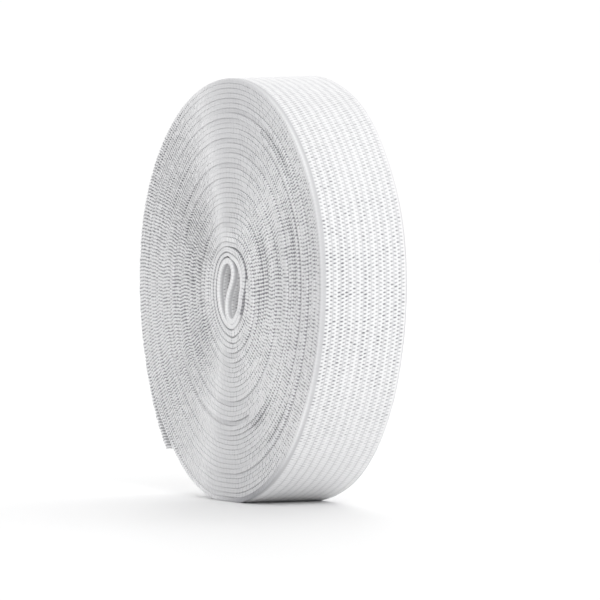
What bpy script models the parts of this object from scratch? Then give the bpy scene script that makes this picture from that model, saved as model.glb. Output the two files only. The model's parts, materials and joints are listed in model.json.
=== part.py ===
"""A roll of white elastic tape, wound on itself with nothing inside it, standing on its rim.

The whole tape is one solid in its wound form. The outline in the winding plane is the outermost turn,
hand wound and so a little out of round, with its loose end lifted off the roll at the lower left. The
tape starts from an S-shaped fold that leaves two pockets right through the middle, and the turns lie
against each other but for a few thin gaps, which also go right through.

Frame: metres, +Z up, origin in the middle of the flat spot that the roll rests on. The winding axis lies
along Y, so the two faces of the roll are at -Y and +Y, and the loose end is at -X.
In the winding plane, angles run anticlockwise seen from -Y: 0 at +X, 90 at the top.
"""

from math import cos, pi, radians, sin

import bmesh
import bpy

MM = 0.001

# The tape
TAPE_WIDTH = 20.0 * MM
TAPE_THICKNESS = 1.07 * MM
EDGE_ROUNDING = 0.25 * MM
SHARP_FROM = 20.0  # degrees between faces, above which an edge is shaded sharp

# The flat spot: height of the roll's centre above the surface, below the radius at the bottom
CENTRE_HEIGHT = 45.45 * MM

# Outer turn, once round: angle in degrees, radius in mm. It starts under the loose end, and a turn later
# it lies one thickness further out, where the loose end leaves the roll.
OUTER_TURN = (
    # (angle, radius)
    (-153, 44.75),
    (-129, 44.90),
    (-112, 45.45),
    (-90, 45.85),
    (-62, 46.00),
    (-30, 45.80),
    (0, 46.20),
    (20, 46.70),
    (50, 46.10),
    (95, 45.50),
    (125, 46.20),
    (153, 46.90),
    (177, 46.00),
    (192, 45.65),
    (207, 45.85),
)
OUTER_STEP = 3.0  # degrees between points

# Loose end: the outer face of its last stretch, from where it leaves the roll to its cut tip
LOOSE_END = (
    # (angle, radius)
    (207, 45.85),
    (214, 46.35),
    (222, 46.95),
    (229.5, 47.50),
)
LOOSE_STEP = 1.5
ROOT_GAP = 0.15 * MM  # between the loose end and the roll, where they part

# The fold at the middle lies off the roll's centre, and the turns' centres drift from one to the other
CORE_CENTRE = (3.2 * MM, -0.7 * MM)
DRIFT_RADIUS = 45.0 * MM  # at which a turn is centred on the roll itself

# The two pockets of the S fold, as points of smooth closed outlines, mm from the roll's centre
POCKET_LEFT = (
    # (across, up)
    (0.4, 5.6),
    (2.0, 4.7),
    (2.2, 3.3),
    (1.2, 1.1),
    (-0.3, -1.4),
    (-1.0, -3.4),
    (-1.1, -5.0),
    (-2.2, -3.9),
    (-2.9, -1.7),
    (-3.1, 0.5),
    (-2.5, 3.0),
    (-1.2, 4.9),
)
POCKET_RIGHT = (
    # (across, up)
    (2.8, -6.2),
    (1.2, -5.2),
    (0.8, -3.5),
    (1.7, -1.3),
    (3.1, 0.5),
    (4.1, 2.4),
    (4.8, 4.2),
    (6.0, 3.2),
    (6.4, 0.9),
    (6.2, -1.9),
    (5.1, -4.6),
)
POCKET_SEGMENTS = 4  # straight pieces between two of these points

# Gaps that stand open between turns: angles in degrees, radii and widest opening in mm
OPEN_GAPS = (
    # (from angle, to angle, from radius, to radius, widest)
    (286, 366, 7.7, 6.2, 0.34),
    (318, 386, 13.9, 14.3, 0.30),
    (330, 430, 16.0, 17.0, 0.46),
    (340, 420, 18.2, 19.2, 0.38),
    (352, 402, 24.1, 24.5, 0.28),
    (350, 405, 32.7, 33.2, 0.36),
    (288, 316, 31.4, 31.6, 0.28),
    (296, 330, 37.2, 37.5, 0.26),
    (25, 70, 38.3, 38.0, 0.26),
)
GAP_STEP = 6.0  # degrees between points

# The tape's inner end: it stops at the right of the fold, and the next turn leans in over its step
INNER_END = {
    "gap_from": 286.0,  # degrees, where the gap outside the end's last turn opens
    "cut_at": 371.0,  # the cut end
    "closed_at": 450.0,  # where the next turn lies against the fold again
    "radius_from": 9.45 * MM,  # outer side of the gap at these three angles, about the fold's centre
    "radius_cut": 8.95 * MM,
    "radius_closed": 9.75 * MM,
    "gap": 0.30 * MM,
}

COLLECTION = "Roll of elastic"
ROLL_NAME = "wound_elastic"
WHITE_ELASTIC = {"name": "white_elastic", "colour": (0.86, 0.86, 0.88, 1.0), "roughness": 0.9}


def clear_scene():
    """Remove every object, so that the script gives the same result wherever it is run."""
    for old in list(bpy.data.objects):
        bpy.data.objects.remove(old, do_unlink=True)


def new_collection(name):
    """A collection of this name, linked to the scene."""
    collection = bpy.data.collections.new(name)
    bpy.context.scene.collection.children.link(collection)
    return collection


def new_material(name, colour, roughness):
    """A plain Principled material without metal."""
    material = bpy.data.materials.new(name)
    material.use_nodes = True
    shader = material.node_tree.nodes["Principled BSDF"]
    shader.inputs["Base Color"].default_value = colour
    shader.inputs["Roughness"].default_value = roughness
    shader.inputs["Metallic"].default_value = 0.0
    return material


def polar(radius, angle, centre=(0.0, 0.0)):
    """The point of the winding plane at this radius and angle in degrees from a centre."""
    turn = radians(angle)
    return (centre[0] + radius * cos(turn), centre[1] + radius * sin(turn))


def steps(start, end, step):
    """Evenly spaced values from start to end, both included, about one step apart."""
    count = max(1, round(abs(end - start) / step))
    return [start + (end - start) * i / count for i in range(count + 1)]


def smooth_radius(rows, angle):
    """Radius in metres on a smooth curve through (angle, radius in mm) rows, a cubic between each two."""
    last = len(rows) - 1
    i = max(k for k in range(last) if rows[k][0] <= angle or k == 0)

    def slope(k):
        before, after = rows[max(k - 1, 0)], rows[min(k + 1, last)]
        return (after[1] - before[1]) / (after[0] - before[0])

    (a0, r0), (a1, r1) = rows[i], rows[i + 1]
    span = a1 - a0
    t = (angle - a0) / span
    value = (
        (2 * t**3 - 3 * t**2 + 1) * r0
        + (t**3 - 2 * t**2 + t) * span * slope(i)
        + (3 * t**2 - 2 * t**3) * r1
        + (t**3 - t**2) * span * slope(i + 1)
    )
    return value * MM


def turn_centre(radius):
    """Centre of the turn of this radius, between the fold's centre and the roll's."""
    share = max(0.0, 1.0 - radius / DRIFT_RADIUS)
    return (CORE_CENTRE[0] * share, CORE_CENTRE[1] * share)


def on_surface(point):
    """The point, raised to the flat spot where the turn would reach below it."""
    return (point[0], max(point[1], -CENTRE_HEIGHT))


def rim_outline():
    """The outer turn from under the loose end once round to the cut tip, and back along the tip's inside."""
    root, tip = LOOSE_END[0][0], LOOSE_END[-1][0]
    turn = [
        on_surface(polar(smooth_radius(OUTER_TURN, angle), angle))
        for angle in steps(OUTER_TURN[0][0], OUTER_TURN[-1][0], OUTER_STEP)
    ]
    outside = [polar(smooth_radius(LOOSE_END, angle), angle) for angle in steps(root, tip, LOOSE_STEP)]
    inside = [
        polar(smooth_radius(LOOSE_END, angle) - TAPE_THICKNESS, angle) for angle in steps(tip, root, LOOSE_STEP)
    ]
    inside[-1] = polar(smooth_radius(OUTER_TURN, root - 360) + ROOT_GAP, root)
    return turn + outside[1:] + inside


def gap_outline(start, end, start_radius, end_radius, widest):
    """A thin crescent between two turns, closed at both ends and widest halfway."""
    middle = [start_radius * MM, end_radius * MM]
    outer, inner = [], []
    angles = steps(start, end, GAP_STEP)
    for i, angle in enumerate(angles):
        share = i / (len(angles) - 1)
        radius = middle[0] + (middle[1] - middle[0]) * share
        half = widest * MM / 2 * sin(pi * share)
        centre = turn_centre(radius)
        outer.append(polar(radius + half, angle, centre))
        if 0 < i < len(angles) - 1:
            inner.append(polar(radius - half, angle, centre))
    return outer + inner[::-1]


def inner_end_outline():
    """The gap outside the tape's inner end, and the wedge left over the end's step by the next turn."""
    end = INNER_END
    before = steps(end["gap_from"], end["cut_at"], GAP_STEP)
    after = steps(end["cut_at"], end["closed_at"], GAP_STEP)

    def outer_radius(angle):
        if angle <= end["cut_at"]:
            share = (angle - end["gap_from"]) / (end["cut_at"] - end["gap_from"])
            return end["radius_from"] + (end["radius_cut"] - end["radius_from"]) * share
        share = (angle - end["cut_at"]) / (end["closed_at"] - end["cut_at"])
        return end["radius_cut"] + (end["radius_closed"] - end["radius_cut"]) * share

    def depth(angle):
        if angle > end["cut_at"]:
            return TAPE_THICKNESS * (1 - (angle - end["cut_at"]) / (end["closed_at"] - end["cut_at"]))
        return end["gap"] * min(1.0, (angle - end["gap_from"]) / GAP_STEP / 2)

    outer = [polar(outer_radius(a), a, CORE_CENTRE) for a in before + after[1:]]
    over_fold = [polar(outer_radius(a) - depth(a), a, CORE_CENTRE) for a in after[-2:0:-1]]
    corner = polar(outer_radius(end["cut_at"]) - TAPE_THICKNESS, end["cut_at"], CORE_CENTRE)
    over_end = [polar(outer_radius(a) - depth(a), a, CORE_CENTRE) for a in before[:0:-1]]
    return outer + over_fold + [corner] + over_end


def add_polygon(curve, points):
    """A closed straight-sided outline in a 2D curve."""
    spline = curve.splines.new("POLY")
    spline.points.add(len(points) - 1)
    for point, (across, up) in zip(spline.points, points):
        point.co = (across, up, 0.0, 1.0)
    spline.use_cyclic_u = True


def add_smooth_outline(curve, rows):
    """A closed smooth outline in a 2D curve through (across, up) rows in mm."""
    spline = curve.splines.new("BEZIER")
    spline.bezier_points.add(len(rows) - 1)
    for point, (across, up) in zip(spline.bezier_points, rows):
        point.co = (across * MM, up * MM, 0.0)
        point.handle_left_type = "AUTO"
        point.handle_right_type = "AUTO"
    spline.use_cyclic_u = True


def outline_curve():
    """The flat outline of the whole roll, as thick as the tape is wide, standing in the XZ plane."""
    curve = bpy.data.curves.new(ROLL_NAME, "CURVE")
    curve.dimensions = "2D"
    curve.fill_mode = "BOTH"
    curve.extrude = TAPE_WIDTH / 2
    curve.resolution_u = POCKET_SEGMENTS
    add_polygon(curve, rim_outline())
    add_smooth_outline(curve, POCKET_LEFT)
    add_smooth_outline(curve, POCKET_RIGHT)
    add_polygon(curve, inner_end_outline())
    for row in OPEN_GAPS:
        add_polygon(curve, gap_outline(*row))
    standing = bpy.data.objects.new("outline", curve)
    standing.rotation_euler = (pi / 2, 0.0, 0.0)
    standing.location = (0.0, 0.0, CENTRE_HEIGHT)
    return standing


def as_mesh_object(standing, collection):
    """The closed mesh object that a curve object gives, in its place."""
    collection.objects.link(standing)
    bpy.context.view_layer.update()
    evaluated = standing.evaluated_get(bpy.context.evaluated_depsgraph_get())
    mesh = bpy.data.meshes.new_from_object(evaluated)
    shaper = bmesh.new()
    shaper.from_mesh(mesh)
    bmesh.ops.remove_doubles(shaper, verts=shaper.verts, dist=0.01 * MM)
    bmesh.ops.recalc_face_normals(shaper, faces=shaper.faces)
    shaper.to_mesh(mesh)
    shaper.free()
    solid = bpy.data.objects.new(ROLL_NAME, mesh)
    solid.matrix_world = standing.matrix_world.copy()
    collection.objects.link(solid)
    bpy.data.objects.remove(standing, do_unlink=True)
    return solid


def round_rim(solid):
    """Round the long edges of the outermost turn, where the tape's edges are soft."""
    shaper = bmesh.new()
    shaper.from_mesh(solid.data)
    weight = shaper.edges.layers.float.new("bevel_weight_edge")
    outermost = min(radius for _, radius in OUTER_TURN[3:]) * MM - TAPE_THICKNESS / 2
    for edge in shaper.edges:
        along_face = abs(edge.verts[0].co.z - edge.verts[1].co.z) < EDGE_ROUNDING
        at_rim = min(v.co.xy.length for v in edge.verts) > outermost
        exposed = len(edge.link_faces) == 2 and edge.calc_face_angle() > radians(60)
        inside_loose_end = any(is_under_loose_end(v.co) for v in edge.verts)
        edge[weight] = float(along_face and at_rim and exposed and not inside_loose_end)
    shaper.to_mesh(solid.data)
    shaper.free()
    rounding = solid.modifiers.new("soft_edges", "BEVEL")
    rounding.limit_method = "WEIGHT"
    rounding.width = EDGE_ROUNDING
    rounding.segments = 2


def is_under_loose_end(point):
    """Whether a point of the outline lies where the loose end lifts off the roll."""
    root, tip = (polar(1.0, LOOSE_END[k][0]) for k in (0, -1))
    after_root = root[0] * point.y - root[1] * point.x > -1e-6
    before_tip = point.x * tip[1] - point.y * tip[0] > -1e-6
    return after_root and before_tip and point.x < 0


def build_roll(collection):
    """The roll itself, one closed solid."""
    solid = as_mesh_object(outline_curve(), collection)
    material = new_material(**WHITE_ELASTIC)
    solid.data.materials.append(material)
    round_rim(solid)
    solid.data.shade_smooth()
    solid.data.set_sharp_from_angle(angle=radians(SHARP_FROM))
    return solid


def main():
    clear_scene()
    parts = new_collection(COLLECTION)
    build_roll(parts)


main()
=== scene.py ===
"""The look of a roll of white woven elastic tape, 20 mm wide, wound on itself and standing on its rim.

The whole tape is laid out as it was wound. It starts at a cut end beside the middle, runs inwards as a short
leg, folds back on itself in an S that leaves two pockets open, and winds outwards for some 34 turns to its
loose end at the lower left. Every station along it is one quarter or one half of a stitch from the next, so
the weave is real relief: Geometry Nodes sweep the tape's section along it and sink the holes between the
stitches. The tape is cut into a few stretches only to keep each mesh small.

Lengths of the winding are in millimetres, in the plane seen from -Y: across is +X and up is +Z, from the
roll's centre. Angles run anticlockwise there, 0 at +X and 90 at the top. Finished meshes are in metres.
"""

import json
import logging
from dataclasses import dataclass, field
from enum import Enum
from math import exp, pi, radians

import bmesh
import bpy
import numpy as np
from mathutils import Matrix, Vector

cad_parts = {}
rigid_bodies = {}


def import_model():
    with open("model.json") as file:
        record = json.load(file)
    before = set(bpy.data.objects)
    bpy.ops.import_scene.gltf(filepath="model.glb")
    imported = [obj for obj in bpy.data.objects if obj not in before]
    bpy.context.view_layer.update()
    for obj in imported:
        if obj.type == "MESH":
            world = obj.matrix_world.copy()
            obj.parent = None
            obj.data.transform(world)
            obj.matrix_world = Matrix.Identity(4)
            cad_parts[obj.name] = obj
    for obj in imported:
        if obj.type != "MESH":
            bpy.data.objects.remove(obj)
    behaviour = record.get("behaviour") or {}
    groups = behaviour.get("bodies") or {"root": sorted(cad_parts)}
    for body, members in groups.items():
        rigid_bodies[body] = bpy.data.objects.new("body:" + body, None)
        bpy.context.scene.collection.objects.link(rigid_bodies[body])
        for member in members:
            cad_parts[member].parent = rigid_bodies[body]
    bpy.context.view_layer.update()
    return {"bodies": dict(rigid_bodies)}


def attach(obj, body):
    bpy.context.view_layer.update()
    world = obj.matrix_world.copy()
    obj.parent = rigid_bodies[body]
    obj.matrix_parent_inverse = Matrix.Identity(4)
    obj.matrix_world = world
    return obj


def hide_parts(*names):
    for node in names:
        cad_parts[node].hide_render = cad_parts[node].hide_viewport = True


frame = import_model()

MM = 0.001
ROLL_NODE = "wound_elastic"
FULL_TURN = 360.0
TINY = 1e-6  # keeps a division off zero
BODY = next(iter(frame["bodies"]))

Rows = tuple[tuple[float, ...], ...]
Inputs = dict[str | int, object]

log = logging.getLogger("roll_of_elastic")


class Woven(Enum):
    """Which faces of a stretch of tape show, and so carry the raised weave."""

    BOTH = (True, True)
    OUTSIDE = (True, False)
    EDGES_ONLY = (False, False)


def direction(angle: np.ndarray) -> np.ndarray:
    """Unit vectors of the winding plane at these angles.

    Args:
        angle: Angles in degrees.

    Returns:
        One (across, up) row for each angle.
    """
    turn = np.radians(angle)
    return np.stack([np.cos(turn), np.sin(turn)], axis=-1)


def smooth(rows: Rows | np.ndarray, at: np.ndarray) -> np.ndarray:
    """Values on a smooth curve through rows, a cubic between each two with finite-difference slopes.

    Args:
        rows: Rows of (place, value, ...), with the places in rising order.
        at: Places to read the curve at.

    Returns:
        The values, one row for each place where the rows hold more than one value.
    """
    table = np.asarray(rows, float)
    places, values = table[:, 0], table[:, 1:]
    count = len(places)
    after = np.minimum(np.arange(count) + 1, count - 1)
    before = np.maximum(np.arange(count) - 1, 0)
    slopes = (values[after] - values[before]) / (places[after] - places[before])[:, None]
    i = np.clip(np.searchsorted(places, at, side="right") - 1, 0, count - 2)
    span = (places[i + 1] - places[i])[:, None]
    t = (np.clip(at, places[0], places[-1]) - places[i])[:, None] / span
    curve = (
        (2 * t**3 - 3 * t**2 + 1) * values[i]
        + (t**3 - 2 * t**2 + t) * span * slopes[i]
        + (3 * t**2 - 2 * t**3) * values[i + 1]
        + (t**3 - t**2) * span * slopes[i + 1]
    )
    return curve[:, 0] if curve.shape[1] == 1 else curve


def wander(at: np.ndarray, every: float, size: float, seed: int) -> np.ndarray:
    """A slow, smooth random drift about zero.

    Args:
        at: Places to read it at.
        every: Distance between two independent values.
        size: How far it usually strays.
        seed: Which drift of this kind.

    Returns:
        The drift at each place.
    """
    start = np.floor(at.min() / every) - 1
    places = np.arange(start, at.max() / every + 3) * every
    values = np.random.default_rng(seed).normal(0.0, size, len(places))
    return smooth(np.column_stack([places, values]), at)


def lengths(points: np.ndarray) -> np.ndarray:
    """Distance along a line of points at each of them."""
    steps = np.linalg.norm(np.diff(points, axis=0), axis=1)
    return np.concatenate([[0.0], np.cumsum(steps)])


def placed(name: str, data: bpy.types.ID) -> bpy.types.Object:
    """Put data in the scene.

    Args:
        name: The new object's name.
        data: Its mesh, camera or light.

    Returns:
        The object.
    """
    thing = bpy.data.objects.new(name, data)
    bpy.context.scene.collection.objects.link(thing)
    return thing


@dataclass(frozen=True)
class Tape:
    """The woven tape as it comes off the loom, in millimetres."""

    width: float = 20.0
    near_selvage: float = 1.15  # close-woven strip at the edge towards -Y
    far_selvage: float = 0.45
    columns: int = 21
    relaxed: float = 1.50  # thickness where nothing presses on it
    swollen: float = 1.90  # thickness at its most, in the bends at the middle
    loose: float = 1.10  # thickness of the loose end

    @property
    def column(self) -> float:
        """Distance from one column of stitches to the next."""
        return (self.width - self.near_selvage - self.far_selvage) / self.columns


@dataclass(frozen=True)
class Winding:
    """Where the tape runs in the winding plane: the fold at the middle, the turns and the loose end."""

    tape: Tape = field(default_factory=Tape)
    centre_height: float = 45.45  # of the roll above the surface: less than its radius, so it stands flat
    fold_centre: tuple[float, float] = (3.2, -0.7)
    turns: float = 34.0  # from the outside of the fold to the rim
    first_turn: float = 450.0  # winding angle where these turns begin
    pitch: float = 1.07
    rim_start: float = -153.0
    fill: float = 0.992  # share of the room between two turns that the tape takes up
    core_fill: float = 0.90  # and round the fold, where the turns are looser
    tight_after: float = 4.0  # turns over which the one share goes over into the other
    squeeze_every: float = 140.0  # degrees between two changes of how tightly it is wound
    squeeze_size: float = 0.012
    squash_depth: float = 8.0  # how deep the flat spot is felt
    clear: float = 0.02  # how far the weave's high spots are kept off the surface
    core_step: float = 6.0  # degrees between two rows that are worked out round the fold
    turn_step: float = 2.0  # and along the turns
    course_step: float = 0.1  # mm between two rows of the finished course

    # Outside of the rim over the last turn: angle, radius. As hand wound, so not quite round
    rim: Rows = (
        (-153, 44.75), (-129, 44.90), (-112, 45.45), (-90, 45.85), (-62, 46.00), (-30, 45.80),
        (0, 46.20), (20, 46.70), (50, 46.10), (95, 45.50), (125, 46.20), (153, 46.90), (177, 46.00),
        (192, 45.65), (207, 45.85), (214, 46.35), (222, 46.95), (229.5, 47.50),
    )
    # How much further out the far edge of the rim lies than the near one: angle, distance
    flare: Rows = (
        (-153, 0.30), (-115, 0.10), (-90, 0.00), (-74, 0.10), (-58, 0.65), (-44, 0.85), (-30, 0.65),
        (-16, 0.15), (0, 0.00), (20, 0.00), (36, 0.30), (52, 0.90), (72, 0.85), (95, 1.05),
        (130, 0.80), (170, 0.50), (207, 0.30),
    )
    loose_from: float = 207.0  # angle of the last turn where the loose end leaves the roll
    loose_before: float = 6.0  # degrees before that from which the tape is as thick as the loose end
    tip: float = 229.5

    # Outside of the long leg about the fold's centre, in its first two passes: winding angle, radius
    long_leg: Rows = (
        (94, 7.30), (107, 8.29), (124, 8.71), (140, 8.66), (157, 8.38), (173, 8.16), (193, 7.90),
        (212, 7.85), (235, 7.82), (257, 7.88), (270, 7.80), (287, 7.20), (307, 6.36), (334, 5.72),
        (353, 5.72), (375, 6.80), (388, 7.80), (408, 8.90), (425, 9.40), (450, 9.85), (468, 10.55),
        (486, 11.00), (502, 11.05), (520, 10.85), (545, 10.50), (572, 10.35), (600, 10.35),
        (618, 10.55), (636, 10.85), (652, 10.80), (672, 10.50), (692, 10.20), (714, 9.85),
        (735, 9.75), (750, 10.05), (770, 10.65), (790, 10.90), (810, 10.87),
    )
    long_leg_start: float = 124.0  # winding angle where it comes out of the fold
    long_leg_lands: float = 262.0  # and where it comes to lie on the short leg
    long_leg_thick: float = 1.38  # before it does

    # Outside of the short leg about the fold's centre
    short_leg: Rows = (
        (266, 6.70), (281, 6.25), (296, 5.62), (315, 4.95), (338, 4.50), (360, 4.60), (386, 5.60),
        (408, 6.85), (426, 7.60), (450, 8.35), (468, 9.30), (486, 9.80), (502, 9.85), (520, 9.60),
        (540, 9.32), (560, 9.12), (595, 9.10), (617, 9.25), (634, 9.45), (651, 9.15), (670, 8.80),
        (684, 8.48), (701, 8.22), (718, 8.22), (735, 8.25), (744, 8.55),
    )
    cut_end: float = 742.0  # winding angle of the short leg's cut end
    short_leg_lands: float = 455.0  # and from which on it lies on the long leg
    short_leg_stop: float = 300.0  # and where it goes over into the fold
    short_leg_thick: float = 1.35  # where it lies beside the pocket
    short_leg_spare: float = 0.6  # how much thicker it may be where it lies on the long leg
    bend: float = 408.0  # winding angle of the bend beside the pocket, where it is thicker still
    bend_reach: float = 40.0
    bend_thick: float = 0.45

    # Inside of the long leg where it leans in over the step of the short leg's cut end
    lean: Rows = ((735, 8.45), (744, 8.40), (756, 8.80), (770, 9.25), (790, 9.65), (812, 9.88))
    lean_before: float = 2.0  # degrees before the cut end where it starts to lean

    # Middle of the tape through the S fold, from the short leg to the long one: across, up, half thickness
    fold: Rows = (
        (4.30, -6.15, 0.66), (2.80, -6.75, 0.66), (1.30, -6.45, 0.66), (0.35, -5.45, 0.65),
        (-0.05, -4.00, 0.64), (0.15, -2.40, 0.62), (1.05, -0.50, 0.60), (2.15, 1.10, 0.60),
        (2.90, 2.70, 0.62), (3.05, 4.20, 0.64), (2.35, 5.50, 0.66), (0.85, 6.30, 0.66),
    )

    # Gaps that stand open between turns: from and to angle, from and to radius, widest opening
    open_gaps: Rows = (
        (318, 386, 13.9, 14.3, 0.22), (330, 430, 16.0, 17.0, 0.34), (340, 420, 18.2, 19.2, 0.28),
        (352, 402, 24.1, 24.5, 0.18), (350, 405, 32.7, 33.2, 0.20), (288, 316, 31.4, 31.6, 0.18),
        (296, 330, 37.2, 37.5, 0.17), (25, 70, 38.3, 38.0, 0.17),
    )
    gap_reach: float = 4.0  # turns over which the turns next to an open gap give way

    @property
    def root(self) -> float:
        """Winding angle where the loose end leaves the roll."""
        return self.loose_from + FULL_TURN * (self.turns + 1)

    @property
    def end(self) -> float:
        """Winding angle of the loose end's tip."""
        return self.tip + FULL_TURN * (self.turns + 1)

    def rim_angle(self, angle: np.ndarray) -> np.ndarray:
        """The same direction as an angle of the rim's last turn, before the loose end."""
        return (angle - self.rim_start) % FULL_TURN + self.rim_start

    def radius(self, angle: np.ndarray) -> np.ndarray:
        """Radius of the outside of the long leg about its own turn's centre.

        Args:
            angle: Winding angles from the first turn on.

        Returns:
            Radii, going evenly from the fold's shape to the rim's.
        """
        share = (angle - self.first_turn) / FULL_TURN / self.turns
        first = (angle - self.first_turn) % FULL_TURN + self.first_turn
        inner = smooth(self.long_leg, first) - self.pitch * (first - self.first_turn) / FULL_TURN
        at_rim = self.rim_angle(angle)
        rim_share = 1.0 + (at_rim - self.first_turn % FULL_TURN) / (FULL_TURN * self.turns)
        outer = inner + (smooth(self.rim, at_rim) - inner) / rim_share
        return inner + (outer - inner) * share

    def outside(self, angle: np.ndarray) -> np.ndarray:
        """Points on the outside of the long leg.

        Args:
            angle: Winding angles in degrees.

        Returns:
            One (across, up) row for each.
        """
        share = np.clip((angle - self.first_turn) / (FULL_TURN * self.turns), 0.0, 1.0)
        centre = np.array(self.fold_centre) * (1.0 - share)[:, None]
        early = smooth(self.long_leg, angle)
        late = self.radius(np.maximum(angle, self.first_turn))
        loose = smooth(self.rim, angle - FULL_TURN * (self.turns + 1))
        reach = np.where(angle < self.first_turn, early, late)
        reach = np.where(angle > self.root, loose, reach)
        return centre + direction(angle) * reach[:, None]

    def opened(self, angle: np.ndarray, side: int) -> np.ndarray:
        """How far the boundary at a winding angle is pushed outwards by the gaps that stand open.

        Args:
            angle: Winding angles of the boundary between two turns.
            side: -1 for the outside of the turn within, 1 for the inside of the turn beyond.

        Returns:
            Distances along the radius.
        """
        push = np.zeros_like(angle)
        for turn, opening in self.openings(angle):
            towards = np.where(turn == 0, side, np.sign(turn))
            push += towards * opening / 2 * np.exp(-np.abs(turn) / self.gap_reach)
        return push

    def openings(self, angle: np.ndarray) -> list[tuple[np.ndarray, np.ndarray]]:
        """Where winding angles lie beside the gaps that stand open.

        Args:
            angle: Winding angles in degrees.

        Returns:
            For each gap, how many turns off it each angle lies, and how wide the gap is there.
        """
        found = []
        for start, stop, start_radius, stop_radius, widest in self.open_gaps:
            middle, wanted = (start + stop) / 2, (start_radius + stop_radius) / 2
            passes = middle + FULL_TURN * np.arange(2, self.turns)  # its middle on each turn past the fold
            place = passes[np.argmin(np.abs(self.radius(passes) - wanted))]
            turn = np.round((angle - place) / FULL_TURN)
            along = (angle - place - FULL_TURN * turn) / (stop - start)
            found.append((turn, widest * np.cos(pi * np.clip(along, -0.5, 0.5)) ** 2))
        return found

    def gap_beside(self, angle: np.ndarray) -> np.ndarray:
        """Width of the open gaps on either side of the turn at these winding angles."""
        gaps = self.openings(angle)
        return sum(np.where((turn == 0) | (turn == 1), opening, 0.0) for turn, opening in gaps)

    def rim_beyond(self, points: np.ndarray) -> tuple[np.ndarray, np.ndarray]:
        """The rim's angle and radius in the direction of these points."""
        angle = self.rim_angle(np.degrees(np.arctan2(points[:, 1], points[:, 0])))
        return angle, smooth(self.rim, angle)

    def flattened(self, points: np.ndarray) -> np.ndarray:
        """Press points up at the bottom, where the roll stands on its flat spot.

        Args:
            points: Rows of across and up.

        Returns:
            The rows pressed up.
        """
        reach = np.linalg.norm(points, axis=1)
        rim = self.rim_beyond(points)[1]
        below = np.maximum(-points[:, 1] / np.maximum(reach, TINY), TINY)
        pressed = np.maximum(rim - (self.centre_height - self.clear) / below, 0.0)
        felt = np.minimum(np.exp((reach - rim) / self.squash_depth), 1.0)
        return points * (1.0 - pressed * felt / np.maximum(reach, TINY))[:, None]

    def lean_out(self, points: np.ndarray) -> np.ndarray:
        """How far the tape leans outwards at these points, in mm for each mm of its width."""
        angle, rim = self.rim_beyond(points)
        return points * (smooth(self.flare, angle) / rim / self.tape.width)[:, None]

    def between(self, angle: np.ndarray, inner: np.ndarray, outer: np.ndarray) -> np.ndarray:
        """The tape where it lies between two radii about the fold's centre.

        Args:
            angle: Winding angles in degrees.
            inner: Radii of what the tape lies on.
            outer: Radii of its outside.

        Returns:
            Rows of across, up, half thickness and the width of an open gap beside the tape, here none.
        """
        middle = (outer + inner) / 2
        slope = np.gradient(middle, np.radians(angle)) / middle
        room = np.minimum((outer - inner) * self.core_fill, self.tape.swollen)
        half = room / 2 / np.sqrt(1 + slope**2)
        points = np.array(self.fold_centre) + direction(angle) * middle[:, None]
        return np.column_stack([points, half, np.zeros(len(half))])

    def short_leg_rows(self) -> np.ndarray:
        """The short leg from its cut end in to the fold.

        Returns:
            Rows of across, up, half thickness and gap beside.
        """
        angle = np.arange(self.cut_end, self.short_leg_stop, -self.core_step)
        outer = smooth(self.short_leg, angle)
        bent = np.clip(1.0 - np.abs(angle - self.bend) / self.bend_reach, 0.0, 1.0)
        on_pocket = outer - self.short_leg_thick - self.bend_thick * bent
        on_long_leg = smooth(self.long_leg, angle - FULL_TURN)
        landed = np.maximum(on_long_leg, on_pocket - self.short_leg_spare)
        return self.between(angle, np.where(angle < self.short_leg_lands, on_pocket, landed), outer)

    def core_rows(self) -> np.ndarray:
        """The long leg from the fold out to where the even turns begin.

        Returns:
            Rows like the short leg's.
        """
        angle = np.arange(self.long_leg_start, self.first_turn + FULL_TURN, self.core_step)
        outer = smooth(self.long_leg, angle)
        on_short_leg = smooth(self.short_leg, angle)
        inner = np.where(angle < self.long_leg_lands, outer - self.long_leg_thick, on_short_leg)
        inner = np.where(angle > self.cut_end - self.lean_before, smooth(self.lean, angle), inner)
        return self.between(angle, inner, outer)

    def turn_rows(self) -> np.ndarray:
        """The even turns and the loose end.

        Returns:
            Rows like the short leg's.
        """
        angle = np.arange(self.first_turn + FULL_TURN + self.turn_step, self.end, self.turn_step)
        angle[-1] = self.end
        outward = direction(angle)
        outer = self.outside(angle) + outward * self.opened(angle, -1)[:, None]
        within = angle - FULL_TURN
        inner = self.outside(within) + outward * self.opened(within, 1)[:, None]
        room = np.linalg.norm(outer - inner, axis=1)
        tight = np.clip((angle - self.first_turn) / (FULL_TURN * self.tight_after), 0.0, 1.0)
        squeeze = np.abs(wander(angle, self.squeeze_every, self.squeeze_size, seed=8))
        fill = self.core_fill + (self.fill - self.core_fill) * tight - squeeze
        loose = angle > self.root - self.loose_before
        thick = np.minimum(room * fill, np.where(loose, self.tape.loose, self.tape.relaxed))
        seat = np.where(loose, 0.0, (room - thick) / 2)
        middle = outer - outward * (seat + thick / 2)[:, None]
        return np.column_stack([middle, thick / 2, self.gap_beside(angle)])

    def course(self) -> np.ndarray:
        """The whole tape, from its cut end by the fold to its loose tip.

        Returns:
            Rows of distance along the tape, across, up, half thickness and gap beside it, close together.
        """
        fold = np.column_stack([np.array(self.fold), np.zeros(len(self.fold))])
        knots = np.concatenate([self.short_leg_rows(), fold, self.core_rows(), self.turn_rows()])
        for _ in range(2):  # the second time, the knots stand at true distances along the curve
            along = lengths(knots[:, :2])
            knots = smooth(np.column_stack([along, knots]), np.arange(0.0, along[-1], self.course_step))
        return np.column_stack([lengths(knots[:, :2]), knots])


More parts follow.
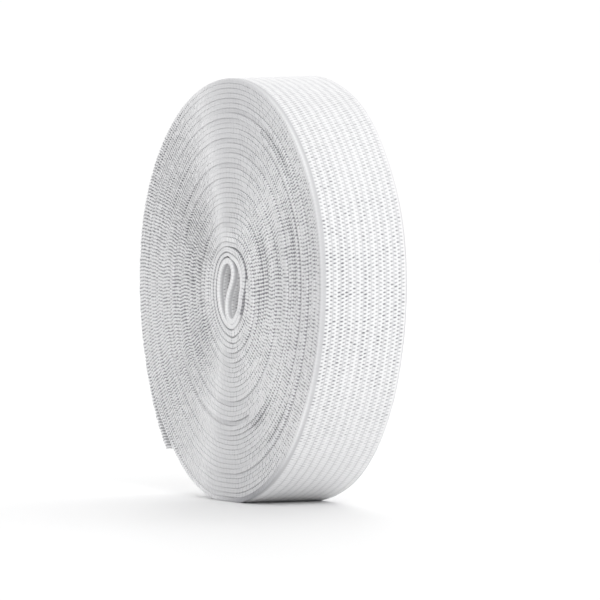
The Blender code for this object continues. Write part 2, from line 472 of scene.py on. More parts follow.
@dataclass
class Laid:
    """The tape laid out stitch by stitch: what the sweep needs at any count of stitches from the cut end."""

    winding: Winding
    # Share of the tape laid out, length of a stitch in mm: the outermost turn was pulled a little more
    stitch: Rows = ((0.0, 0.765), (0.93, 0.770), (0.955, 0.800), (1.0, 0.800))
    stretch_every: float = 185.0  # stitches between two changes of how hard the tape was pulled
    stretch_size: float = 0.12  # stitches
    # And the same again for the side towards +X, where neighbouring turns line up less
    mixed_every: float = 55.0
    mixed_size: float = 0.30
    mixed_from: float = 25.0  # mm across from which this holds in full
    proud: float = 0.11  # how far a turn's edges usually stand out of line, in mm
    sway_every: tuple[float, float] = (37.0, 260.0)  # mm between two changes of that, a quick and a slow one
    probe: float = 0.15  # mm to either side over which the tape's direction is read
    outermost: float = 420.0  # mm of tape at the loose end that lie in line and show their outside
    outermost_fade: float = 120.0  # and over how much of it this sets in

    # By direction, how much the loops at the edges stand out, with the painted shade in their valleys, and
    # how much painted shade falls in the cracks between turns
    edges: Rows = (
        (-180, 1.05, 0.15), (-160, 1.10, 0.15), (-140, 1.30, 0.15), (-125, 1.00, 0.15),
        (-110, 0.55, 0.07), (-90, 0.15, 0.06), (-62, 0.27, 0.60), (-40, 0.42, 0.90),
        (-20, 0.34, 1.05), (0, 0.28, 1.15), (20, 0.28, 1.15), (40, 0.38, 1.00), (58, 0.25, 0.60),
        (90, 0.12, 0.02), (112, 0.60, 0.06), (128, 1.25, 0.20), (140, 1.50, 0.25),
        (154, 1.20, 0.20), (180, 1.05, 0.15),
    )
    edges_even: float = 7.0  # radius in mm up to which the loops don't depend on the direction
    even_loops: float = 0.6  # how much they stand out there
    # By radius, how much more the loops stand out, with their painted shade, and how much more painted shade
    # the cracks get
    inward: Rows = (
        (7, 1.0, 1.0), (12, 1.45, 1.0), (18, 1.50, 1.0), (24, 1.30, 0.9), (32, 1.10, 0.8), (46, 1.0, 0.8),
    )
    crack_every: float = 13.0  # mm along the tape between two changes of how much painted shade a crack gets
    crack_size: float = 0.30
    crack_least: float = 0.4  # how much of that is left where the cracks' painted shade is light
    # By stitches past the ends of the S fold, how much painted shade a crack gets all along: clearest round
    # the fold
    ring_line: Rows = ((-62, 0.20), (-45, 0.65), (60, 0.65), (85, 0.30), (160, 0.15), (260, 0.05))
    fold_fade: float = 6.0  # stitches over which the cracks set in outside the fold
    dark_gap: float = 0.23  # mm, the width from which an open gap gets its darkest painted shade
    gap_crack: float = 2.8  # how much painted shade it gets then where loops meet
    gap_line: float = 0.1  # and all along
    ring_calm: float = 0.5  # how much flatter the loops lie round the fold
    rim_calm: float = 0.65  # how much flatter they lie on the outermost turn where it faces +X
    facing: tuple[float, float] = (-5.0, 15.0)  # mm across where it starts to, and where it does in full
    flat_shade_falloff: float = 2.2  # how fast the painted shade of an edge goes as its loops stand out
    rim_shade: float = 1.2  # how much more painted shade the outermost turn's edges get where it faces +X
    rim_shade_height: float = 40.0  # mm upwards over which this falls by one: painted shade, darker towards the bottom, where less light falls

    # By direction, how wide the holes between the stitches stand open on the rim: real relief, and so the
    # painted shade in them, less above the rim's front middle, painting it lighter where the light washes it
    # out
    open_holes: Rows = (
        (-153, 0.60), (-90, 0.40), (-60, 0.40), (-48, 0.48), (-35, 0.80), (-20, 1.05), (-8, 1.20),
        (15, 1.00), (25, 0.88), (35, 0.74), (50, 0.70), (75, 0.60), (120, 0.70), (207, 0.90),
    )
    inside_open: float = 0.60  # and inside the pockets

    course: np.ndarray = field(init=False)
    counted: np.ndarray = field(init=False)  # stitches from the cut end at each row of the course
    stitches: int = field(init=False)

    def __post_init__(self) -> None:
        """Lay the course out once, and count its stitches."""
        self.course = self.winding.course()
        along = self.course[:, 0]
        per_mm = 1.0 / smooth(self.stitch, along / along[-1])
        steps = (per_mm[1:] + per_mm[:-1]) / 2 * np.diff(along)
        self.counted = np.concatenate([[0.0], np.cumsum(steps)])
        self.stitches = int(self.counted[-1])

    def length(self, start: float, stop: float) -> float:
        """Length in metres between two counts of stitches."""
        ends = self.distance(np.array([start, stop], float))
        return float(ends[1] - ends[0]) * MM

    def distance(self, stitch: np.ndarray) -> np.ndarray:
        """Distance along the tape, whose pull spaces the stitches a little unevenly.

        Args:
            stitch: Counts of stitches from the cut end.

        Returns:
            Distances in mm.
        """
        grid = np.arange(self.stitches + 1.0)
        even = np.interp(grid, self.counted, self.course[:, 0])
        across = np.interp(even, self.course[:, 0], self.course[:, 1])
        mixed = np.clip(across / self.mixed_from, 0.0, 1.0)
        drift = wander(grid, self.stretch_every, self.stretch_size, seed=11)
        drift += wander(grid, self.mixed_every, self.mixed_size, seed=12) * mixed
        drift -= np.linspace(drift[0], drift[-1], len(grid))
        return np.interp(stitch, grid, even + drift * self.stitch[0][1])

    def nearest(self, target: np.ndarray) -> int:
        """The count of stitches where the tape passes nearest to a point of the winding plane."""
        far = np.linalg.norm(self.course[:, 1:3] - target, axis=1)
        return int(round(self.counted[int(np.argmin(far))]))

    def fold_ends(self) -> tuple[int, int]:
        """The counts of stitches where the S fold starts and ends."""
        first, last = (np.array(self.winding.fold[k][:2]) for k in (0, -1))
        return self.nearest(first), self.nearest(last)

    def read(self, at: np.ndarray) -> np.ndarray:
        """Across, up, half thickness and gap beside the tape at distances along it."""
        return np.column_stack([np.interp(at, self.course[:, 0], values) for values in self.course.T[1:]])

    def settled(self, along: np.ndarray) -> np.ndarray:
        """How far into its outermost turn the tape is at distances along it, from 0 to 1."""
        return np.clip((along - self.course[-1, 0] + self.outermost) / self.outermost_fade, 0.0, 1.0)

    def stations(self, stitch: np.ndarray) -> dict[str, np.ndarray]:
        """What the sweep needs to know at each of these counts of stitches.

        Args:
            stitch: Counts of stitches from the cut end.

        Returns:
            By name: the middle of the tape and the vector from it to the tape's right-hand face, in metres in
            the row frame, how the tape leans over its width, the count of stitches, and what looks gives.
        """
        along = self.distance(stitch)
        here = self.read(along)
        after = self.read(np.minimum(along + self.probe, self.course[-1, 0]))
        before = self.read(np.maximum(along - self.probe, 0.0))
        ahead = after[:, :2] - before[:, :2]
        ahead /= np.linalg.norm(ahead, axis=1)[:, None]
        right = np.column_stack([ahead[:, 1], -ahead[:, 0]]) * here[:, 2:3]
        near = self.winding.flattened(here[:, :2])
        right = self.winding.flattened(here[:, :2] + right) - near
        quick, slow = self.sway_every
        sway = wander(along, quick, self.proud, seed=5) + wander(along, slow, self.proud, seed=6)
        depth = sway * (1.0 - self.settled(along))
        lean = self.winding.lean_out(near)
        middle = near + lean * self.winding.tape.width / 2
        flat = np.zeros(len(middle))
        return {
            "middle": np.column_stack([middle[:, 0], depth, middle[:, 1] + self.winding.centre_height]) * MM,
            "out": np.column_stack([right[:, 0], flat, right[:, 1]]) * MM,
            "lean": np.column_stack([lean[:, 0], flat, lean[:, 1]]),
            "run": stitch,
            **self.looks(stitch, along, near, middle[:, 1]),
        }

    def looks(
        self, stitch: np.ndarray, along: np.ndarray, place: np.ndarray, height: np.ndarray
    ) -> dict[str, np.ndarray]:
        """How the edges, the cracks and the holes look along the tape.

        Args:
            stitch: Counts of stitches from the cut end.
            along: Distances along the tape there, in mm.
            place: Across and up at the tape's near edge there.
            height: Up at the middle of its width.

        Returns:
            By name: how much the loops at the edges stand out, how much painted shade the edges get where
                they
            don't, how much painted shade the cracks between turns get where loops meet and all along, and how
            wide the holes stand open.
        """
        angle = np.degrees(np.arctan2(place[:, 1], place[:, 0]))
        reach = np.linalg.norm(place, axis=1)
        loops, cracks = smooth(self.edges, angle).T
        directed = np.clip((reach - self.edges_even) / self.edges_even, 0.0, 1.0)
        stronger, darker = smooth(self.inward, reach).T
        loops = (self.even_loops + (loops - self.even_loops) * directed) * stronger
        cracks = cracks * darker
        unlike = wander(along, self.crack_every, self.crack_size, seed=21)
        cracks *= np.exp(unlike * (self.crack_least + (1.0 - self.crack_least) * cracks))

        settle = self.settled(along)
        starts, full = self.facing
        facing = np.clip((place[:, 0] - starts) / (full - starts), 0.0, 1.0)
        calm = 1.0 - self.rim_calm * settle * facing
        # painted shade over edges whose loops lie flat, standing for the shade in their valleys
        dull = np.clip(1.0 - self.flat_shade_falloff * loops, 0.0, 1.0)
        # on the outermost turn facing +X, the painted shade is darker towards the bottom, where less light
        # falls
        dull = dull * (1.0 + (self.rim_shade - height / self.rim_shade_height) * settle * facing)

        start, stop = self.fold_ends()
        outside_fold = 1.0 - np.clip(np.minimum(stitch - start, stop - stitch) / self.fold_fade, 0.0, 1.0)
        past = np.minimum(stitch - start, 0.0) + np.maximum(stitch - stop, 0.0)
        ring = np.interp(past, *np.array(self.ring_line).T)
        calm *= 1.0 - self.ring_calm * np.clip(ring / self.ring_line[1][1], 0.0, 1.0) ** 2
        gap = np.clip(self.read(along)[:, 3] / self.dark_gap, 0.0, 1.0)
        rim_open = smooth(self.open_holes, self.winding.rim_angle(angle))
        return {
            "loops": loops * calm,
            "dull": dull,
            "cracks": (cracks * calm + self.gap_crack * gap) * outside_fold,
            "line": (ring + self.gap_line * gap) * outside_fold,
            "open": np.where(settle > 0, rim_open, self.inside_open),
        }


class Field:
    """A number flowing through a node tree, on which Python's operators add math nodes."""

    def __init__(self, tree: bpy.types.NodeTree, socket: bpy.types.NodeSocket) -> None:
        """Wrap a socket of a tree."""
        self.tree = tree
        self.socket = socket

    def math(self, operation: str, *terms: "Field | float") -> "Field":
        """Add a math node.

        Args:
            operation: The node's operation.
            terms: Its other inputs.

        Returns:
            The result.
        """
        node = self.tree.nodes.new("ShaderNodeMath")
        node.operation = operation
        for socket, term in zip(node.inputs, (self, *terms)):
            if isinstance(term, Field):
                self.tree.links.new(term.socket, socket)
            else:
                socket.default_value = term
        return Field(self.tree, node.outputs[0])

    def __add__(self, other: "Field | float") -> "Field":
        """The sum."""
        return self.math("ADD", other)

    def __sub__(self, other: "Field | float") -> "Field":
        """The difference."""
        return self.math("SUBTRACT", other)

    def __rsub__(self, other: float) -> "Field":
        """The difference from a number."""
        return (self * -1.0) + other

    def __mul__(self, other: "Field | float") -> "Field":
        """The product."""
        return self.math("MULTIPLY", other)

    def __pow__(self, other: float) -> "Field":
        """The power."""
        return self.math("POWER", other)


@dataclass
class Nodes:
    """Short ways to add and join nodes of one tree."""

    tree: bpy.types.NodeTree

    def add(self, kind: str, inputs: Inputs | None = None, **settings: object) -> bpy.types.Node:
        """Add a node.

        Args:
            kind: The node's type.
            inputs: Values, fields or sockets for its inputs, by name or number.
            settings: Its own properties.

        Returns:
            The node.
        """
        node = self.tree.nodes.new(kind)
        for name, value in settings.items():
            setattr(node, name, value)
        for name, value in (inputs or {}).items():
            if isinstance(value, Field):
                self.tree.links.new(value.socket, node.inputs[name])
            elif isinstance(value, bpy.types.NodeSocket):
                self.tree.links.new(value, node.inputs[name])
            else:
                node.inputs[name].default_value = value
        return node

    def field(
        self, kind: str, output: str | int = 0, inputs: Inputs | None = None, **settings: object
    ) -> Field:
        """Add a node and take one of its outputs as a field, with the arguments of add."""
        return Field(self.tree, self.add(kind, inputs, **settings).outputs[output])

    def vector(self, operation: str, inputs: Inputs) -> bpy.types.NodeSocket:
        """The result of a vector math node."""
        return self.add("ShaderNodeVectorMath", inputs, operation=operation).outputs[0]

    def combined(self, **parts: Field | float) -> bpy.types.NodeSocket:
        """A vector of these parts X, Y and Z."""
        return self.add("ShaderNodeCombineXYZ", parts).outputs[0]

    def chance(self, **parts: Field | float) -> Field:
        """A random number from 0 to 1 for each set of these parts X, Y and Z."""
        place = self.combined(**parts)
        return self.field("ShaderNodeTexWhiteNoise", "Value", {"Vector": place}, noise_dimensions="3D")

    def noise(self, place: bpy.types.NodeSocket, **settings: float) -> Field:
        """Smooth noise over a place, with these inputs of its own."""
        return self.field("ShaderNodeTexNoise", "Fac", {"Vector": place, **settings})


@dataclass
class WovenSweep:
    """The Geometry Nodes tree that sweeps the tape's section along its course and sinks the weave into it."""

    name: str = "woven_tape"
    patch: tuple[float, float] = (0.37, 0.21)  # how fast the rows' lean changes, for a column and a stitch
    hole_shape: tuple[float, float] = (1.5, 2.3)  # how sharply a hole narrows across and along the tape
    hole_chance: float = 1.2  # how unlike two holes are
    hole_rarity: float = 3.0  # how few of them are much deeper than usual
    column_chance: float = 0.7  # how unlike two columns are
    column_draw: float = -7.0  # keeps their chances apart from the holes'
    usual_chance: float = 0.65  # what the two chances come to on average
    pairing: float = 0.7  # how much deeper every second furrow is
    furrow_shape: float = 2.0
    furrow_shade: float = 0.22  # how much painted shade a furrow gets, where a hole gets 1
    nodes: Nodes = field(init=False)
    given: bpy.types.NodeOutputs = field(init=False)

    THINGS = {"Geometry": "Geometry", "Section": "Object", "Finish": "Material"}  # inputs and their kinds
    DEPTHS = ("Hole Depth", "Furrow Depth", "Loop Depth", "Groove Fill")  # in metres
    AMOUNTS = ("Pinch", "Slant", "Unevenness", "Seed")

    def __post_init__(self) -> None:
        """Build the tree."""
        tree = bpy.data.node_groups.new(self.name, "GeometryNodeTree")
        inputs = self.THINGS | dict.fromkeys(self.DEPTHS + self.AMOUNTS, "Float")
        for name, kind in inputs.items():
            tree.interface.new_socket(name, in_out="INPUT", socket_type=f"NodeSocket{kind}")
        tree.interface.new_socket("Geometry", in_out="OUTPUT", socket_type="NodeSocketGeometry")
        self.nodes = Nodes(tree)
        self.given = self.nodes.add("NodeGroupInput").outputs
        self._build()

    def _named(self, name: str, kind: str = "FLOAT") -> Field:
        """A named attribute as a field."""
        return self.nodes.field("GeometryNodeInputNamedAttribute", 0, {"Name": name}, data_type=kind)

    def _size(self, name: str) -> Field:
        """One of the tree's own inputs as a field."""
        return Field(self.nodes.tree, self.given[name])

    def _weave(self) -> tuple[Field, Field]:
        """The holes between two stitches of a column, half a stitch further in each next column.

        Returns:
            How deep each point is sunk, and how much painted shade it gets in the holes and furrows.
        """
        run, column, woven = self._named("run"), self._named("column"), self._named("woven")
        seed = self._size("Seed")
        index = column.math("FLOOR")
        within = column.math("FRACT")
        by_column, by_stitch = self.patch
        patch = self.nodes.combined(X=index * by_column, Y=run * by_stitch, Z=seed)
        slant = (self.nodes.noise(patch, Scale=1.0, Detail=1.0) - 0.5) * self._size("Slant")
        phase = run + index.math("FLOORED_MODULO", 2.0) * 0.5 + (within - 0.5) * slant
        of_hole = self.nodes.chance(X=index, Y=(phase + 0.5).math("FLOOR"), Z=seed)
        of_column = self.nodes.chance(X=index, Y=seed, Z=self.column_draw)
        unlike = of_hole**self.hole_rarity * self.hole_chance + of_column * self.column_chance
        amount = (unlike - self.usual_chance) * self._size("Unevenness") + 1.0
        across, along = self.hole_shape
        dash = (within * pi).math("SINE").math("MAXIMUM", 0.0) ** across
        dip = ((phase * (2 * pi)).math("COSINE") * 0.5 + 0.5).math("MAXIMUM", 0.0) ** along
        hole = dash * dip * woven * amount * self._named("open")
        paired = (column * pi).math("COSINE") * self.pairing + 1.0
        furrow = (1.0 - (within * pi).math("SINE")) ** self.furrow_shape * woven * paired
        sunk = hole * self._size("Hole Depth") + furrow * self._size("Furrow Depth")
        return sunk, hole + furrow * self.furrow_shade

    def _edges(self) -> tuple[Field, bpy.types.NodeSocket]:
        """The loops of yarn round the tape's edges, with a valley after each.

        Returns:
            What share of the tape's thickness is left, and where each point lies over the tape's width.
        """
        run, rim = self._named("run"), self._named("rim")
        of_loop = self.nodes.chance(X=run.math("FLOOR"), Y=rim, Z=self._size("Seed"))
        loop_size = (of_loop - 0.5) * 2.0 * self._size("Unevenness") + 1.0
        edge = rim.math("ABSOLUTE") * self._named("loops")
        valley = (0.5 - (run * (2 * pi)).math("COSINE") * 0.5) * loop_size * edge
        drawn_in = valley * self._size("Loop Depth")
        closed = (1.0 - self._named("cracks")).math("MAXIMUM", 0.0) * self._named("crack")
        filled = closed * self._size("Groove Fill")
        aside = self.nodes.combined(Y=self._named("across") - rim * (drawn_in - filled))
        return 1.0 - valley * self._size("Pinch"), aside

    def _build(self) -> None:
        """Add and join the nodes."""
        nodes = self.nodes
        path = nodes.add("GeometryNodeMeshToCurve", {"Mesh": self.given["Geometry"]})
        section = nodes.add("GeometryNodeObjectInfo", {"Object": self.given["Section"]})
        profile = nodes.add("GeometryNodeMeshToCurve", {"Mesh": section.outputs["Geometry"]})
        lines = {"Curve": path.outputs[0], "Profile Curve": profile.outputs[0], "Fill Caps": True}
        swept = nodes.add("GeometryNodeCurveToMesh", lines)
        sunk, hollow = self._weave()
        pinch, aside = self._edges()
        level = self._named("level")
        middle, out, lean = (self._named(name, "FLOAT_VECTOR") for name in ("middle", "out", "lean"))
        to_face = nodes.vector("SCALE", {0: out, "Scale": level * pinch})
        inwards = sunk * level.math("SIGN") * -1.0
        sink = nodes.vector("SCALE", {0: nodes.vector("NORMALIZE", {0: out}), "Scale": inwards})
        leant = nodes.vector("SCALE", {0: lean, "Scale": self._named("across")})
        spine = nodes.vector("ADD", {0: middle, 1: leant})
        face = nodes.vector("ADD", {0: spine, 1: to_face})
        relief = nodes.vector("ADD", {0: sink, 1: aside})
        place = nodes.vector("ADD", {0: face, 1: relief})
        moved = nodes.add("GeometryNodeSetPosition", {"Geometry": swept.outputs[0], "Position": place})
        # the painted shade of the holes and furrows, for the material
        shade = {"Geometry": moved.outputs[0], "Name": "hollow", "Value": hollow}
        stored = nodes.add("GeometryNodeStoreNamedAttribute", shade, data_type="FLOAT", domain="POINT")
        real = nodes.add("GeometryNodeRealizeInstances", {"Geometry": stored.outputs[0]})
        dressed = {"Geometry": real.outputs[0], "Material": self.given["Finish"]}
        finished = nodes.add("GeometryNodeSetMaterial", dressed)
        nodes.add("NodeGroupOutput", {"Geometry": finished.outputs[0]})

    def identifiers(self) -> dict[str, str]:
        """The identifier of each named input."""
        items = self.nodes.tree.interface.items_tree
        return {item.name: item.identifier for item in items if item.in_out == "INPUT"}


def wire(name: str, points: np.ndarray, closed: bool, attributes: dict[str, np.ndarray]) -> bpy.types.Object:
    """A line of vertices and edges that carries values at each point.

    Args:
        name: The object's name.
        points: Places in metres.
        closed: Whether the last point joins the first.
        attributes: Values at each point, by name, numbers or vectors.

    Returns:
        The object, linked to the scene.
    """
    count = len(points)
    ends = np.arange(count if closed else count - 1)
    mesh = bpy.data.meshes.new(name)
    mesh.from_pydata(points, np.column_stack([ends, (ends + 1) % count]).tolist(), [])
    for key, values in attributes.items():
        is_vector = values.ndim == 2
        attribute = mesh.attributes.new(key, "FLOAT_VECTOR" if is_vector else "FLOAT", "POINT")
        attribute.data.foreach_set("vector" if is_vector else "value", values.astype(np.float32).ravel())
    return placed(name, mesh)


@dataclass(frozen=True)
class Section:
    """The tape's cross-section: two faces, and an edge of two plies at each side."""

    tape: Tape
    per_column: int = 4
    near_open: float = 0.35  # how much wider the holes stand open beside the near selvage
    near_reach: float = 3.0  # and over how many columns that fades
    # Across an edge, from one face to the other: share of the half thickness, distance in from the edge
    # in mm, and how much painted shade of a crack it gets where another turn lies against that face
    edge: Rows = (
        (-1.0, 0.28, 1.0), (-0.82, 0.10, 0.45), (-0.45, 0.0, 0.0), (0.0, 0.10, 0.35),
        (0.45, 0.0, 0.0), (0.82, 0.10, 0.45), (1.0, 0.28, 1.0),
    )

    def _face(self, shown: bool) -> list[tuple[float, float, float]]:
        """Points of a face from the near edge to the far one.

        Args:
            shown: Whether the face shows. One that doesn't has no points of its own.

        Returns:
            Rows of across in mm, column, and how wide the holes stand open.
        """
        if not shown:
            return []
        start = self.tape.near_selvage - self.tape.width / 2
        points = []
        for i in range(self.tape.columns * self.per_column + 1):
            column = i / self.per_column
            share = 1.0 + self.near_open * exp(-column / self.near_reach)
            points.append((start + column * self.tape.column, column, share))
        return points

    def build(self, woven: Woven) -> bpy.types.Object:
        """Make the section as a closed line that carries its own coordinates.

        Args:
            woven: Which faces carry the weave.

        Returns:
            The line's object.
        """
        half = self.tape.width / 2
        outside, inside = woven.value
        edge = []
        for level, inset, crack in self.edge:
            shows = outside if level > 0 else inside
            edge.append((level, inset, 0.0 if shows else crack))
        names = ("across", "level", "column", "woven", "rim", "crack")
        rows = [(at, 1.0, column, share, 0.0, 0.0) for at, column, share in self._face(outside)]
        rows += [(half - inset, level, 0.0, 0.0, 1.0, crack) for level, inset, crack in reversed(edge)]
        rows += [(at, -1.0, column, share, 0.0, 0.0) for at, column, share in reversed(self._face(inside))]
        rows += [(inset - half, level, 0.0, 0.0, -1.0, crack) for level, inset, crack in edge]
        table = np.array(rows)
        points = np.column_stack([table[:, 0], table[:, 1], np.zeros(len(table))]) * MM
        values = dict(zip(names, table.T)) | {"across": table[:, 0] * MM}
        return wire(f"section_{woven.name.lower()}", points, True, values)


@dataclass(frozen=True)
class WhiteElastic:
    """White polyester yarn over rubber, cool white on the stitches, with grey painted shade down between
    them.
    """

    name: str = "white_elastic"
    stitch: tuple[float, float, float] = (0.90, 0.90, 0.908)
    # grey of the painted shade in the holes, the valleys and the cracks
    hollow: tuple[float, float, float] = (0.26, 0.26, 0.28)
    depth: float = 0.97  # how far the holes between stitches go towards the grey of the painted shade
    valley: float = 0.57  # and the valleys between the loops at the edges: painted shade
    valley_shape: float = 1.6  # how narrow they are
    selvage: float = 0.08  # and the close-woven strip beside the edges
    dull: float = 0.47  # and edges whose loops lie flat: painted shade
    flat_shade_shape: float = 1.5  # how near the very edge this painted shade keeps
    dots: float = 2.15  # and the cracks between turns where a valley crosses them: painted shade in dots
    dot_chance: tuple[float, float] = (2.8, 0.3)  # how unlike two of these dots are, and the faintest
    loop_chance: tuple[float, float] = (0.7, 0.65)  # and two valleys, and the faintest
    fibres: tuple[float, float, float] = (2.2, 9000.0, 4.0)  # to a stitch, metre of width, half the thickness
    fibre_shade: float = 0.16  # how much darker or lighter a fibre is
    fibre_relief: float = 0.00012  # metres
    relief_strength: float = 0.5
    cloud_scale: float = 55.0  # soft cloudiness over the roll, to a metre
    cloud_shade: float = 0.10
    roughness: float = 0.82
    sheen: float = 0.25

    def build(self) -> bpy.types.Material:
        """Make the material from the tape's own coordinates.

        Returns:
            The material.
        """
        material = bpy.data.materials.new(self.name)
        material.use_nodes = True
        tree = material.node_tree
        tree.nodes.clear()
        nodes = Nodes(tree)
        names = ("run", "across", "level", "hollow", "crack", "rim", "loops", "cracks", "line", "dull")
        run, across, level, hollow, crack, rim, loops, cracks, line, dull = (
            nodes.field("ShaderNodeAttribute", "Fac", attribute_name=name) for name in names
        )
        by_stitch, by_width, by_level = self.fibres
        yarn = nodes.combined(X=run * by_stitch, Y=across * by_width, Z=level * by_level)
        fibre = nodes.noise(yarn, Scale=1.0, Detail=3.0, Roughness=0.6)
        place = nodes.add("ShaderNodeTexCoord").outputs["Object"]
        cloud = nodes.noise(place, Scale=self.cloud_scale, Detail=2.0)
        of_loop = nodes.chance(X=run.math("FLOOR"), Y=rim)
        # painted shade: in the valleys between the loops at the edges, in dots and lines along the cracks
        # between turns, and over edges whose loops lie flat
        valley = (0.5 - (run * (2 * pi)).math("COSINE") * 0.5).math("MAXIMUM", 0.0) ** self.valley_shape
        beside = rim.math("ABSOLUTE")
        shade = valley * beside
        unlike, faintest = self.dot_chance
        dot = shade * valley * (of_loop**2.0 * unlike + faintest) * cracks
        unlike, faintest = self.loop_chance
        edge = shade * (of_loop * unlike + faintest) * loops * self.valley + crack * (dot * self.dots + line)
        edge = edge + beside**self.flat_shade_shape * dull * self.dull
        close = beside * (1.0 - beside) * 4.0 * self.selvage
        grey = hollow * self.depth + edge + close
        grey = grey + (fibre - 0.5) * self.fibre_shade + (cloud - 0.5) * self.cloud_shade
        colour = nodes.add("ShaderNodeMixRGB", {"Fac": grey.math("MAXIMUM", 0.0).math("MINIMUM", 1.0)})
        colour.inputs["Color1"].default_value = (*self.stitch, 1.0)
        colour.inputs["Color2"].default_value = (*self.hollow, 1.0)
        bump = {"Height": fibre, "Strength": self.relief_strength, "Distance": self.fibre_relief}
        relief = nodes.add("ShaderNodeBump", bump)
        shader = nodes.add(
            "ShaderNodeBsdfPrincipled",
            {
                "Base Color": colour.outputs["Color"],
                "Normal": relief.outputs["Normal"],
                "Roughness": self.roughness,
                "Sheen Weight": self.sheen,
            },
        )
        nodes.add("ShaderNodeOutputMaterial", {"Surface": shader.outputs["BSDF"]})
        return material


@dataclass(frozen=True)
class Stretch:
    """One length of the tape, made as one mesh."""

    name: str
    start: int
    stop: int
    per_stitch: int
    woven: Woven


@dataclass(frozen=True)
class RollOfElastic:
    """The wound tape."""

    tape: Tape = field(default_factory=Tape)
    hole_depth: float = 0.26  # mm, of the holes between stitches
    furrow_depth: float = 0.10  # mm, of the furrows between columns
    loop_depth: float = 0.20  # mm, how far a valley between two loops is drawn in from the edge
    groove_fill: float = 0.32  # mm, how much shallower the groove between two turns is where it isn't dark
    pinch: float = 0.25  # share of the thickness that goes in such a valley
    slant: float = 1.6  # how far the rows of stitches lean at most, in stitches a column
    unevenness: float = 0.55  # of the holes and loops
    seed: float = 3.0
    before_fold: int = 26  # stitches of the short leg that are woven as the fold is
    after_fold: int = 34  # and of the long leg
    inner_stops: float = 0.36  # share of the tape laid out where the inner turns stop
    middle_stops: float = 0.68
    rim_starts: float = 362.0  # winding angle from the start of the rim's front to the root of the loose end
    rim_back_starts: float = 180.0  # and from the start of its back
    fine: int = 4  # stations to a stitch at the pockets and on the rim
    coarse: int = 2  # and in between

    def stretches(self, laid: Laid) -> tuple[Stretch, ...]:
        """Share the tape out between meshes.

        Args:
            laid: The tape laid out.

        Returns:
            The stretches, in order from the cut end.
        """
        fold_start, fold_stop = laid.fold_ends()
        fold_start -= self.before_fold
        fold_stop += self.after_fold
        third, two_thirds = (int(laid.stitches * share) for share in (self.inner_stops, self.middle_stops))
        rim, back = (self._before_root(laid, degrees) for degrees in (self.rim_starts, self.rim_back_starts))
        return (
            Stretch("elastic_short_leg", 0, fold_start, self.fine, Woven.EDGES_ONLY),
            Stretch("elastic_fold", fold_start, fold_stop, self.fine, Woven.BOTH),
            Stretch("elastic_inner_turns", fold_stop, third, self.coarse, Woven.EDGES_ONLY),
            Stretch("elastic_middle_turns", third, two_thirds, self.coarse, Woven.EDGES_ONLY),
            Stretch("elastic_outer_turns", two_thirds, rim, self.coarse, Woven.EDGES_ONLY),
            Stretch("elastic_rim_front", rim, back, self.fine, Woven.OUTSIDE),
            Stretch("elastic_rim_back", back, laid.stitches, self.fine, Woven.OUTSIDE),
        )

    def _before_root(self, laid: Laid, degrees: float) -> int:
        """The count of stitches so many degrees before the root of the loose end."""
        sides = laid.winding.root - degrees - np.array([0.0, FULL_TURN])  # the tape's outside and inside
        return laid.nearest(laid.winding.outside(sides).mean(axis=0))

    def build(self, laid: Laid, finish: bpy.types.Material) -> None:
        """Make every stretch.

        Args:
            laid: The tape laid out.
            finish: Its material.
        """
        sweep = WovenSweep()
        sections = {woven: Section(self.tape).build(woven) for woven in Woven}
        for stretch in self.stretches(laid):
            piece = self._sweep(stretch, laid, sweep, sections[stretch.woven], finish)
            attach(piece, BODY)
            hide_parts(ROLL_NODE)
            length = laid.length(stretch.start, stretch.stop)
            log.info("%s: %d faces, %.3f m of tape", piece.name, len(piece.data.polygons), length)
        for section in sections.values():
            bpy.data.objects.remove(section, do_unlink=True)

    def _sweep(
        self,
        stretch: Stretch,
        laid: Laid,
        sweep: WovenSweep,
        section: bpy.types.Object,
        finish: bpy.types.Material,
    ) -> bpy.types.Object:
        """Sweep the section along one stretch and keep the result as a plain mesh.

        Args:
            stretch: Which length of the tape.
            laid: The tape laid out.
            sweep: The node tree.
            section: The tape's section.
            finish: The tape's material.

        Returns:
            The finished object.
        """
        steps = (stretch.stop - stretch.start) * stretch.per_stitch
        run = np.arange(steps + 1) / stretch.per_stitch + stretch.start
        stations = laid.stations(run)
        path = wire(stretch.name + "_course", stations["middle"], False, stations)
        modifier = path.modifiers.new("weave", "NODES")
        modifier.node_group = sweep.nodes.tree
        names = sweep.identifiers()
        values = {
            "Section": section,
            "Finish": finish,
            "Hole Depth": self.hole_depth * MM,
            "Furrow Depth": self.furrow_depth * MM,
            "Loop Depth": self.loop_depth * MM,
            "Groove Fill": self.groove_fill * MM,
            "Pinch": self.pinch,
            "Slant": self.slant,
            "Unevenness": self.unevenness,
            "Seed": self.seed,
        }
        for name, value in values.items():
            modifier[names[name]] = value
        evaluated = path.evaluated_get(bpy.context.evaluated_depsgraph_get())
        mesh = bpy.data.meshes.new_from_object(evaluated)
        mesh.name = stretch.name
        bpy.data.objects.remove(path, do_unlink=True)
        return placed(stretch.name, mesh)


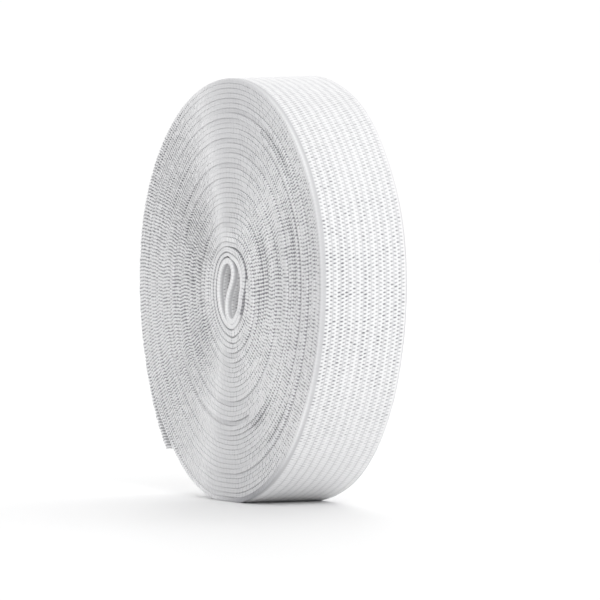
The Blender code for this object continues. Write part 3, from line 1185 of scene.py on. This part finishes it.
@dataclass(frozen=True)
class Studio:
    """A pale floor in plain soft light, and a long lens at the roll's height."""

    lens: float = 240.0
    sensor: float = 36.0
    azimuth: float = 63.81  # degrees
    tilt: float = 0.577  # degrees down
    distance: float = 864.84  # mm, from the roll's centre
    right: float = 7.127  # mm, how far it stands to the right of that centre
    down: float = 2.187  # and below it
    room: float = 0.67  # brightness of the room all round
    backdrop: float = 1.02  # and behind the roll as the camera sees it
    backdrop_side: tuple[float, float, float] = (-0.72, 0.694, 0.0)
    backdrop_fade: float = 0.9  # how straight behind the roll it is at its brightest
    # Broad lamps, infinitely far off: name, the side each hangs on, brightness, spread in degrees
    lamps: tuple[tuple[str, tuple[float, float, float], float, float], ...] = (
        ("key", (0.88, -0.20, 0.50), 1.24, 40.0),
        ("back", (-0.60, 0.50, 0.62), 0.78, 65.0),
        ("fill", (0.20, -0.95, 0.25), 0.16, 60.0),
    )
    floor_size: float = 40.0  # metres from its middle to each side
    floor_grey: float = 0.90
    floor_roughness: float = 0.6
    sight: float = 200.0  # metres, how far the camera sees

    def build(self, roll_centre: Vector) -> None:
        """Set up the camera, floor, world and lamps.

        Args:
            roll_centre: The roll's centre, in metres.
        """
        self._camera(roll_centre)
        self._floor()
        self._light()

    def _camera(self, roll_centre: Vector) -> None:
        """Stand the camera at the photograph's angle.

        Args:
            roll_centre: The roll's centre, in metres.
        """
        data = bpy.data.cameras.new("camera")
        data.lens = self.lens
        data.sensor_width = self.sensor
        data.clip_end = self.sight
        camera = placed("camera", data)
        camera.rotation_euler = (pi / 2 - radians(self.tilt), 0.0, radians(self.azimuth))
        turned = camera.rotation_euler.to_matrix()
        offset = Vector((self.right, -self.down, self.distance)) * MM
        camera.location = roll_centre + turned @ offset
        bpy.context.scene.camera = camera

    def _floor(self) -> None:
        """Lay a wide pale floor."""
        mesh = bpy.data.meshes.new("floor")
        shaper = bmesh.new()
        bmesh.ops.create_grid(shaper, x_segments=2, y_segments=2, size=self.floor_size)
        shaper.to_mesh(mesh)
        shaper.free()
        floor = placed("floor", mesh)
        material = bpy.data.materials.new("pale_floor")
        material.use_nodes = True
        shader = material.node_tree.nodes["Principled BSDF"]
        shader.inputs["Base Color"].default_value = (self.floor_grey, self.floor_grey, self.floor_grey, 1.0)
        shader.inputs["Roughness"].default_value = self.floor_roughness
        mesh.materials.append(material)

    def _light(self) -> None:
        """Light the room evenly, brighter behind the roll, and hang the broad lamps."""
        world = bpy.data.worlds.new("studio")
        bpy.context.scene.world = world
        world.use_nodes = True
        nodes = Nodes(world.node_tree)
        background = world.node_tree.nodes["Background"]
        background.inputs["Color"].default_value = (1.0, 1.0, 1.0, 1.0)
        outward = nodes.add("ShaderNodeTexCoord").outputs["Generated"]
        sides = {0: outward, 1: self.backdrop_side}
        behind = nodes.add("ShaderNodeVectorMath", sides, operation="DOT_PRODUCT")
        fade = {
            "Value": behind.outputs["Value"],
            "From Min": 0.0,
            "From Max": self.backdrop_fade,
            "To Min": self.room,
            "To Max": self.backdrop,
        }
        strength = nodes.add("ShaderNodeMapRange", fade, interpolation_type="SMOOTHSTEP")
        world.node_tree.links.new(strength.outputs["Result"], background.inputs["Strength"])
        bpy.context.scene.view_settings.view_transform = "Standard"
        for name, side, brightness, spread in self.lamps:
            data = bpy.data.lights.new(name, "SUN")
            data.energy = brightness
            data.angle = radians(spread)
            lamp = placed(name, data)
            lamp.rotation_euler = Vector(side).to_track_quat("Z", "Y").to_euler()


def main() -> None:
    """Build the roll, then the studio round it."""
    logging.basicConfig(level=logging.INFO, format="%(name)s: %(message)s")
    winding = Winding()
    laid = Laid(winding)
    log.info("tape: %.3f m, %d stitches", laid.length(0, laid.stitches), laid.stitches)
    RollOfElastic(winding.tape).build(laid, WhiteElastic().build())
    Studio().build(Vector((0.0, 0.0, winding.centre_height * MM)))


if __name__ == "__main__":
    main()
